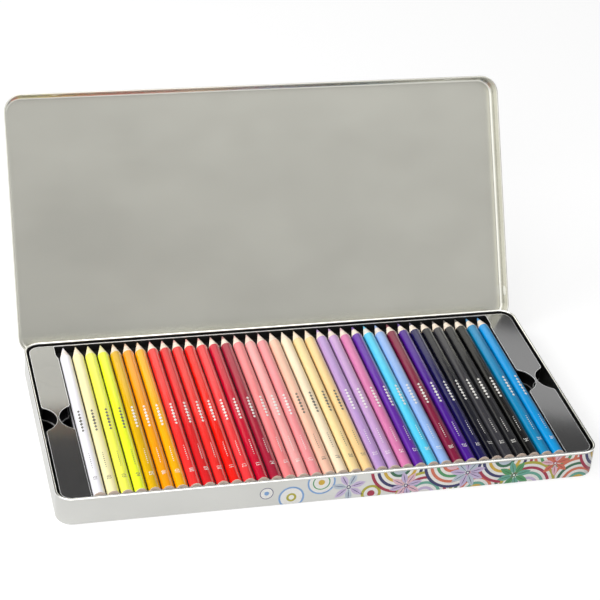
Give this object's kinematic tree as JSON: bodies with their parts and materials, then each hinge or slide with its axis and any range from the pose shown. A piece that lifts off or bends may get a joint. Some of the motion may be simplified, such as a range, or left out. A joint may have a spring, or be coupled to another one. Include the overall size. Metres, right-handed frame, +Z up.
{
  "type": "colored pencil tin",
  "caption": "Flat hinged tin with rounded corners holding two stacked black trays of round colored pencils side by side under a wide lid.",
  "frame": {"origin": "centre of the base's flat bottom face, where the tin rests on a table", "axes": "+X along the row of pencils, +Y towards the hinges, +Z up"},
  "size_m": [0.3752, 0.2891, 0.1722],
  "materials": {
    "tinplate_base": "satin tinplate with a clear coat",
    "tinplate_lid": "satin tinplate",
    "tray_plastic": "fine grained, half gloss",
    "hinge_steel": "plain steel",
    "pin_steel": "drawn wire",
    "lacquer_01": "gloss lacquer over wood",
    "lacquer_02": "gloss lacquer over wood",
    "lacquer_03": "gloss lacquer over wood",
    "lacquer_04": "gloss lacquer over wood",
    "lacquer_05": "gloss lacquer over wood",
    "lacquer_06": "gloss lacquer over wood",
    "lacquer_07": "gloss lacquer over wood",
    "lacquer_08": "gloss lacquer over wood",
    "lacquer_09": "gloss lacquer over wood",
    "lacquer_10": "gloss lacquer over wood",
    "lacquer_11": "gloss lacquer over wood",
    "lacquer_12": "gloss lacquer over wood",
    "lacquer_13": "gloss lacquer over wood",
    "lacquer_14": "gloss lacquer over wood",
    "lacquer_15": "gloss lacquer over wood",
    "lacquer_16": "gloss lacquer over wood",
    "lacquer_17": "gloss lacquer over wood",
    "lacquer_18": "gloss lacquer over wood",
    "lacquer_19": "gloss lacquer over wood",
    "lacquer_20": "gloss lacquer over wood",
    "lacquer_21": "gloss lacquer over wood",
    "lacquer_22": "gloss lacquer over wood",
    "lacquer_23": "gloss lacquer over wood",
    "lacquer_24": "gloss lacquer over wood",
    "lacquer_25": "gloss lacquer over wood",
    "lacquer_26": "gloss lacquer over wood",
    "lacquer_27": "gloss lacquer over wood",
    "lacquer_28": "gloss lacquer over wood",
    "lacquer_29": "gloss lacquer over wood",
    "lacquer_30": "gloss lacquer over wood",
    "lacquer_31": "gloss lacquer over wood",
    "lacquer_32": "gloss lacquer over wood",
    "lacquer_33": "gloss lacquer over wood",
    "lacquer_34": "gloss lacquer over wood",
    "lacquer_35": "gloss lacquer over wood",
    "lacquer_36": "gloss lacquer over wood",
    "lower_lacquer": "gloss lacquer over wood",
    "pencil_wood": "bare sharpened wood",
    "pencil_core": "waxy colored core",
    "print_ink": "printed colors under a clear coat"
  },
  "bodies": {
    "base": {"base_shell": "tinplate_base", "hinge_base_leaf_left": "hinge_steel", "hinge_base_leaf_right": "hinge_steel", "hinge_pin_left": "pin_steel", "hinge_pin_right": "pin_steel"},
    "lid": {"lid_shell": "tinplate_lid", "hinge_lid_leaf_left": "hinge_steel", "hinge_lid_leaf_right": "hinge_steel"},
    "lower_tray": {"tray_lower": "tray_plastic", "lower_pencils_1": "lower_lacquer", "lower_pencils_2": "lower_lacquer", "lower_pencils_3": "lower_lacquer", "lower_pencils_4": "lower_lacquer", "lower_pencils_5": "lower_lacquer", "lower_pencils_6": "lower_lacquer", "lower_pencils_7": "lower_lacquer", "lower_pencils_8": "lower_lacquer", "lower_pencils_9": "lower_lacquer"},
    "upper_tray": {"tray_upper": "tray_plastic"},
    "pencil_01_body": {"pencil_01": "lacquer_01"},
    "pencil_02_body": {"pencil_02": "lacquer_02"},
    "pencil_03_body": {"pencil_03": "lacquer_03"},
    "pencil_04_body": {"pencil_04": "lacquer_04"},
    "pencil_05_body": {"pencil_05": "lacquer_05"},
    "pencil_06_body": {"pencil_06": "lacquer_06"},
    "pencil_07_body": {"pencil_07": "lacquer_07"},
    "pencil_08_body": {"pencil_08": "lacquer_08"},
    "pencil_09_body": {"pencil_09": "lacquer_09"},
    "pencil_10_body": {"pencil_10": "lacquer_10"},
    "pencil_11_body": {"pencil_11": "lacquer_11"},
    "pencil_12_body": {"pencil_12": "lacquer_12"},
    "pencil_13_body": {"pencil_13": "lacquer_13"},
    "pencil_14_body": {"pencil_14": "lacquer_14"},
    "pencil_15_body": {"pencil_15": "lacquer_15"},
    "pencil_16_body": {"pencil_16": "lacquer_16"},
    "pencil_17_body": {"pencil_17": "lacquer_17"},
    "pencil_18_body": {"pencil_18": "lacquer_18"},
    "pencil_19_body": {"pencil_19": "lacquer_19"},
    "pencil_20_body": {"pencil_20": "lacquer_20"},
    "pencil_21_body": {"pencil_21": "lacquer_21"},
    "pencil_22_body": {"pencil_22": "lacquer_22"},
    "pencil_23_body": {"pencil_23": "lacquer_23"},
    "pencil_24_body": {"pencil_24": "lacquer_24"},
    "pencil_25_body": {"pencil_25": "lacquer_25"},
    "pencil_26_body": {"pencil_26": "lacquer_26"},
    "pencil_27_body": {"pencil_27": "lacquer_27"},
    "pencil_28_body": {"pencil_28": "lacquer_28"},
    "pencil_29_body": {"pencil_29": "lacquer_29"},
    "pencil_30_body": {"pencil_30": "lacquer_30"},
    "pencil_31_body": {"pencil_31": "lacquer_31"},
    "pencil_32_body": {"pencil_32": "lacquer_32"},
    "pencil_33_body": {"pencil_33": "lacquer_33"},
    "pencil_34_body": {"pencil_34": "lacquer_34"},
    "pencil_35_body": {"pencil_35": "lacquer_35"},
    "pencil_36_body": {"pencil_36": "lacquer_36"}
  },
  "joints": [
    {"name": "lid_hinge", "type": "hinge", "parent": "base", "child": "lid", "pos_m": [0, 0.0934, 0.0109], "axis": [-1, 0, 0], "range_deg": [-120, 0]},
    {"name": "lower_tray_lift", "type": "slide", "parent": "base", "child": "lower_tray", "axis": [0, 0, 1], "range_m": [0, 0.035]},
    {"name": "upper_tray_lift", "type": "slide", "parent": "lower_tray", "child": "upper_tray", "axis": [0, 0, 1], "range_m": [0, 0.045]},
    {"name": "pencil_01_lift", "type": "slide", "parent": "upper_tray", "child": "pencil_01_body", "axis": [0, 0, 1], "range_m": [0, 0.03]},
    {"name": "pencil_02_lift", "type": "slide", "parent": "upper_tray", "child": "pencil_02_body", "axis": [0, 0, 1], "range_m": [0, 0.03]},
    {"name": "pencil_03_lift", "type": "slide", "parent": "upper_tray", "child": "pencil_03_body", "axis": [0, 0, 1], "range_m": [0, 0.03]},
    {"name": "pencil_04_lift", "type": "slide", "parent": "upper_tray", "child": "pencil_04_body", "axis": [0, 0, 1], "range_m": [0, 0.03]},
    {"name": "pencil_05_lift", "type": "slide", "parent": "upper_tray", "child": "pencil_05_body", "axis": [0, 0, 1], "range_m": [0, 0.03]},
    {"name": "pencil_06_lift", "type": "slide", "parent": "upper_tray", "child": "pencil_06_body", "axis": [0, 0, 1], "range_m": [0, 0.03]},
    {"name": "pencil_07_lift", "type": "slide", "parent": "upper_tray", "child": "pencil_07_body", "axis": [0, 0, 1], "range_m": [0, 0.03]},
    {"name": "pencil_08_lift", "type": "slide", "parent": "upper_tray", "child": "pencil_08_body", "axis": [0, 0, 1], "range_m": [0, 0.03]},
    {"name": "pencil_09_lift", "type": "slide", "parent": "upper_tray", "child": "pencil_09_body", "axis": [0, 0, 1], "range_m": [0, 0.03]},
    {"name": "pencil_10_lift", "type": "slide", "parent": "upper_tray", "child": "pencil_10_body", "axis": [0, 0, 1], "range_m": [0, 0.03]},
    {"name": "pencil_11_lift", "type": "slide", "parent": "upper_tray", "child": "pencil_11_body", "axis": [0, 0, 1], "range_m": [0, 0.03]},
    {"name": "pencil_12_lift", "type": "slide", "parent": "upper_tray", "child": "pencil_12_body", "axis": [0, 0, 1], "range_m": [0, 0.03]},
    {"name": "pencil_13_lift", "type": "slide", "parent": "upper_tray", "child": "pencil_13_body", "axis": [0, 0, 1], "range_m": [0, 0.03]},
    {"name": "pencil_14_lift", "type": "slide", "parent": "upper_tray", "child": "pencil_14_body", "axis": [0, 0, 1], "range_m": [0, 0.03]},
    {"name": "pencil_15_lift", "type": "slide", "parent": "upper_tray", "child": "pencil_15_body", "axis": [0, 0, 1], "range_m": [0, 0.03]},
    {"name": "pencil_16_lift", "type": "slide", "parent": "upper_tray", "child": "pencil_16_body", "axis": [0, 0, 1], "range_m": [0, 0.03]},
    {"name": "pencil_17_lift", "type": "slide", "parent": "upper_tray", "child": "pencil_17_body", "axis": [0, 0, 1], "range_m": [0, 0.03]},
    {"name": "pencil_18_lift", "type": "slide", "parent": "upper_tray", "child": "pencil_18_body", "axis": [0, 0, 1], "range_m": [0, 0.03]},
    {"name": "pencil_19_lift", "type": "slide", "parent": "upper_tray", "child": "pencil_19_body", "axis": [0, 0, 1], "range_m": [0, 0.03]},
    {"name": "pencil_20_lift", "type": "slide", "parent": "upper_tray", "child": "pencil_20_body", "axis": [0, 0, 1], "range_m": [0, 0.03]},
    {"name": "pencil_21_lift", "type": "slide", "parent": "upper_tray", "child": "pencil_21_body", "axis": [0, 0, 1], "range_m": [0, 0.03]},
    {"name": "pencil_22_lift", "type": "slide", "parent": "upper_tray", "child": "pencil_22_body", "axis": [0, 0, 1], "range_m": [0, 0.03]},
    {"name": "pencil_23_lift", "type": "slide", "parent": "upper_tray", "child": "pencil_23_body", "axis": [0, 0, 1], "range_m": [0, 0.03]},
    {"name": "pencil_24_lift", "type": "slide", "parent": "upper_tray", "child": "pencil_24_body", "axis": [0, 0, 1], "range_m": [0, 0.03]},
    {"name": "pencil_25_lift", "type": "slide", "parent": "upper_tray", "child": "pencil_25_body", "axis": [0, 0, 1], "range_m": [0, 0.03]},
    {"name": "pencil_26_lift", "type": "slide", "parent": "upper_tray", "child": "pencil_26_body", "axis": [0, 0, 1], "range_m": [0, 0.03]},
    {"name": "pencil_27_lift", "type": "slide", "parent": "upper_tray", "child": "pencil_27_body", "axis": [0, 0, 1], "range_m": [0, 0.03]},
    {"name": "pencil_28_lift", "type": "slide", "parent": "upper_tray", "child": "pencil_28_body", "axis": [0, 0, 1], "range_m": [0, 0.03]},
    {"name": "pencil_29_lift", "type": "slide", "parent": "upper_tray", "child": "pencil_29_body", "axis": [0, 0, 1], "range_m": [0, 0.03]},
    {"name": "pencil_30_lift", "type": "slide", "parent": "upper_tray", "child": "pencil_30_body", "axis": [0, 0, 1], "range_m": [0, 0.03]},
    {"name": "pencil_31_lift", "type": "slide", "parent": "upper_tray", "child": "pencil_31_body", "axis": [0, 0, 1], "range_m": [0, 0.03]},
    {"name": "pencil_32_lift", "type": "slide", "parent": "upper_tray", "child": "pencil_32_body", "axis": [0, 0, 1], "range_m": [0, 0.03]},
    {"name": "pencil_33_lift", "type": "slide", "parent": "upper_tray", "child": "pencil_33_body", "axis": [0, 0, 1], "range_m": [0, 0.03]},
    {"name": "pencil_34_lift", "type": "slide", "parent": "upper_tray", "child": "pencil_34_body", "axis": [0, 0, 1], "range_m": [0, 0.03]},
    {"name": "pencil_35_lift", "type": "slide", "parent": "upper_tray", "child": "pencil_35_body", "axis": [0, 0, 1], "range_m": [0, 0.03]},
    {"name": "pencil_36_lift", "type": "slide", "parent": "upper_tray", "child": "pencil_36_body", "axis": [0, 0, 1], "range_m": [0, 0.03]}
  ]
}
